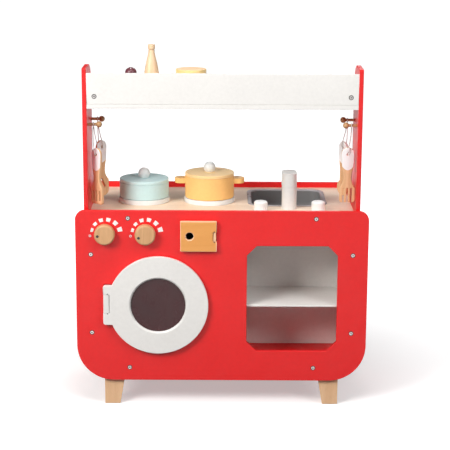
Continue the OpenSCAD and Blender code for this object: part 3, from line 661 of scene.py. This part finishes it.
def make_shaker():
    """A wooden shaker under a painted dome with printed dots."""
    base = foot("shaker")
    body = rounded([(0, 0), (0.0112, 0), (0.0118, 0.046), (0, 0.046)], 0.001, 3)
    lathe("shaker_body", body, base, M["leg"], "shaker_toy", ["shaker"])
    crown = [Vector((0, 0.0464)), Vector((0.0118, 0.0464))]
    dome, dome_height, dot_height = 0.012, 0.058, 0.0119
    crown += [Vector((dome * math.cos(a), dome_height + dome * math.sin(a)))
              for a in (math.pi / 2 * i / 12 for i in range(13))]
    lathe("shaker_cap", crown, base, M["maroon"], "shaker_toy")
    profile = [Vector((0, 0)), Vector((0.0013, 0)), Vector((0.0011, 0.0003)), Vector((0, 0.0003))]
    for ring, count in ((0, 1), (32, 6)):
        for i in range(count):
            around = Matrix.Rotation(2 * math.pi * i / count, 3, "Z")
            lean = around @ Matrix.Rotation(math.radians(ring), 3, "X")
            place = base + Vector((0, 0, dome_height)) + lean @ Vector((0, 0, dot_height))
            dot = lathe(f"shaker_dot_{ring}_{i}", profile, (0, 0, 0), M["dial"], "shaker_toy",
                        turns=16)
            dot.data.transform(Matrix.Translation(place) @ lean.to_4x4())


def make_utensils():
    """Flat wooden utensils with eased edges, their handles dipped in white down to a round line."""
    hole_drop, dip = 14 * MM, 33 * MM
    for name, turn in (("turner", -42), ("spatula", 45), ("fork", 0), ("spoon", -58)):
        hole = joint_place(name + "_swing")
        hole.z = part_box(name)[1].z - hole_drop
        normal = Matrix.Rotation(math.radians(turn), 3, "Z") @ Vector((0, -1, 0))
        finish = dipped(name + "_finish", M["utensil"], hole, hole.z - dip, (0.93, 0.93, 0.93))
        if name == "spoon":
            dress(finish, name)
            soften(0.8 * MM, name)
        else:
            board(name, normal, finish, "hung_" + name, 1.3 * MM, 12 * MM, M["utensil"])


def make_knob_dots():
    """A black pin set into each control knob's face, near its rim."""
    for name, body, angle in (("knob_left", "control_left", 188.5), ("knob_right", "control_right", 202)):
        low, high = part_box(name)
        reach, angle = 14 * MM, math.radians(angle)
        base = ((low.x + high.x) / 2 + reach * math.cos(angle), low.y + 0.4 * MM,
                (low.z + high.z) / 2 + reach * math.sin(angle))
        profile = rounded([(0, 0), (0.0029, 0), (0.0029, 0.0006), (0, 0.0006)], 0.0002, 2)
        lathe(name + "_dot", profile, base, M["black"], body, turns=28, up="-Y")


def make_hinge_dots():
    """Black discs in the small dimples above and below each hinge block, at the ends of the hinge pins:
    painted shade in the dimples.
    """
    for panel, block, joint, body, slot in (
            ("door_ring", "door_hinge_block", "washer_door_hinge", "washer_door", "fittings_white"),
            ("flap_door", "flap_hinge_block", "flap_hinge", "flap", "flap_wood")):
        low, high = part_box(block)
        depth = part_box(panel)[0].y + 0.9 * MM
        for label, height in (("low", low.z - 1.4 * MM), ("high", high.z + 1.4 * MM)):
            base = (joint_place(joint).x, depth, height)
            profile = rounded([(0, 0), (0.0012, 0), (0.0012, 0.0005), (0, 0.0005)], 0.0002, 2)
            lathe(f"{panel}_dot_{label}", profile, base, M["black"], body, turns=20, up="-Y")


def make_screws():
    """Screw heads where the CAD screws end: steel with a cross recess, on a thin black disc a little wider
    than the head, which paints the shadow in the gap round it.
    """
    rise, under = 0.8 * MM, 0.3 * MM
    arm, half, twist = 2.3 * MM, 0.55 * MM, 0.5

    def circle(radius, steps=36):
        angles = [2 * math.pi * i / steps for i in range(steps)]
        return [(radius * math.cos(a), radius * math.sin(a)) for a in angles]

    cross = []
    for turn in range(4):
        corner = Matrix.Rotation(math.pi / 2 * turn + twist, 2)
        cross += [tuple(corner @ Vector(p)) for p in ((arm, half), (half, half), (half, arm))]
    head = filled("screw_head", [circle(3.4 * MM), cross[::-1]], rise - under, 0.25 * MM)
    head.transform(Matrix.Translation((0, 0, (rise + under) / 2)))
    # The black disc under each head stands for the shadow in the gap round the head: painted shadow.
    shadow_ring = filled("screw_shadow_ring", [circle(4.9 * MM)], under, 0.1 * MM)
    shadow_ring.transform(Matrix.Translation((0, 0, under / 2)))

    solid = bmesh.new()
    solid.from_mesh(nodes["assembly_screws"].data)
    bmesh.ops.remove_doubles(solid, verts=solid.verts, dist=WELD)
    heads = bmesh.new()
    shank = 3 * MM
    for group in clusters(solid.verts, lambda vertex: [e.other_vert(vertex) for e in vertex.link_edges]):
        low, high = (Vector(pick(v.co[i] for v in group) for i in range(3)) for pick in (min, max))
        size, middle = high - low, (low + high) / 2
        axis = max(range(3), key=lambda i: size[i])
        out = Vector([1.0 if i == axis else 0.0 for i in range(3)])
        wide = [v.co[axis] for v in group if (v.co - middle - out * (v.co - middle)[axis]).length > shank]
        out = out if wide[0] > middle[axis] else -out
        place = out.to_track_quat("Z", "Y").to_matrix().to_4x4()
        place.translation = middle + out * (size[axis] / 2 - rise)
        for index, part in enumerate((head, shadow_ring)):
            first = len(heads.faces)
            copy = part.copy()
            copy.transform(place)
            heads.from_mesh(copy)
            heads.faces.ensure_lookup_table()
            for face in heads.faces[first:]:
                face.material_index = index
    mesh = bpy.data.meshes.new("screw_heads")
    heads.to_mesh(mesh)
    heads.free()
    solid.free()
    piece = new_piece("screw_heads", mesh, M["steel"], "cabinet", ["assembly_screws"])
    # Black for the discs under the heads: painted shadow.
    mesh.materials.append(M["black"])
    even_normals(piece)


# Half of a cord loop, from the utensil's hole to the top of its peg: mm from the peg, wallwards, back, up
LOOP_HALF = [(0, -0.5, -59), (0, -3, -58.6), (0, -5.4, -56.6), (0.5, -6.4, -52), (2, -6, -43),
             (4, -5.4, -29), (5.5, -4.8, -15), (6, -4.3, -5), (6, -4.15, -1), (6, -3.7, 1.9),
             (6, -2.2, 3.6)]


def make_loops():
    """The cord loops that the utensils hang from."""
    route = LOOP_HALF + [(6, 0, 4.2)] + [(x, -y, z) for x, y, z in reversed(LOOP_HALF)]
    usual_drop = -LOOP_HALF[0][2]
    for name, side, turn, drop in (("turner", -1, -42, 63), ("spatula", -1, 45, 59), ("fork", 1, 0, 59),
                                   ("spoon", 1, -58, 59)):
        peg = joint_place(name + "_swing")
        points = []
        for x, y, z in route:
            twist = math.radians(turn * min(1, max(0, -z / 52)))
            points.append(peg + Vector((side * x - y * math.sin(twist), y * math.cos(twist),
                                        z * drop / usual_drop if z < 0 else z)) * MM)
        curve = bpy.data.curves.new(name + "_cord", "CURVE")
        curve.dimensions = "3D"
        curve.bevel_depth = 0.9 * MM
        curve.bevel_resolution = 3
        curve.use_fill_caps = True
        spline = curve.splines.new("POLY")
        spline.points.add(len(points) - 1)
        for point, place in zip(spline.points, points):
            point.co = (*place, 1)
        curve.materials.append(M["cord"])
        cord = link(name + "_cord", curve)
        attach(cord, "hung_" + name)
        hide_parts(name + "_loop")


make_camera()
make_loops()
make_studio()

dress(M["white"], "front_partition", "rear_partition", "cubby_shelf", "rear_shelf", "top_shelf")
dress(M["fitting"], "burner_left", "burner_right", "pot_low_knob", "pot_high_knob", "tap_left", "tap_right")
# The faucet takes the darker copy of the fitting paint: painted shade.
dress(M["faucet"], "faucet_post", "faucet_spout")
dress(M["leg"], "leg_front_left", "leg_front_right", "leg_back_left", "leg_back_right", "shelf_blocks")
dress(M["peg"], "peg_left_front", "peg_left_back", "peg_right_front", "peg_right_back")
dress(M["knob"], "knob_left", "knob_right")
dress(M["aqua"], "pot_low")
# The lids take lighter copies of the pot paints: painted light on their tops.
dress(M["aqua_lit_lid"], "pot_low_lid")
dress(M["yellow"], "pot_high")
dress(M["yellow_lit_lid"], "pot_high_lid")
dress(M["steel"], "hinge_pins")
dress(M["magnet"], "catch_magnets")
dress(M["dial"], "dial_marks")
dress(M["window"], "door_window")

eased("front_panel", 1.2 * MM, M["red"], "cabinet")
for name, normal in (("back_panel", (0, -1, 0)), ("side_panel_left", (-1, 0, 0)),
                     ("side_panel_right", (1, 0, 0)), ("floor_board", (0, 0, 1))):
    board(name, normal, M["red"], "cabinet")
for name, normal in (("side_liner_left", (-1, 0, 0)), ("side_liner_right", (1, 0, 0)),
                     ("mid_divider", (0, -1, 0)), ("shelf_fascia", (0, -1, 0))):
    board(name, normal, M["white"], "cabinet")
board("worktop", (0, 0, 1), M["worktop"], "cabinet")
eased("flap_door", 1.5 * MM, M["flap"], "flap", border=M["flap_edge"],
      fitted="flap_hinge_block")
make_utensils()

soften(0.9 * MM, "front_partition", "rear_partition", "cubby_shelf", "rear_shelf", "top_shelf",
       "shelf_blocks")
eased("flap_hinge_block", 0.5 * MM, M["leg"], "cabinet", 5 * MM)
eased("door_hinge_block", 0.5 * MM, M["gloss_white"], "cabinet", 5 * MM)
soften(1.6 * MM, "knob_left", "knob_right")
soften(1.2 * MM, "leg_front_left", "leg_front_right", "leg_back_left", "leg_back_right",
       "burner_left", "burner_right", "pot_low", "pot_high")
soften(1.4 * MM, "pot_low_lid", "pot_high_lid")
eased("door_ring", 1.2 * MM, M["gloss_white"], "washer_door", fitted="door_hinge_block")

make_sink()
make_bottle()
make_canister()
make_shaker()
make_knob_dots()
make_hinge_dots()
make_screws()
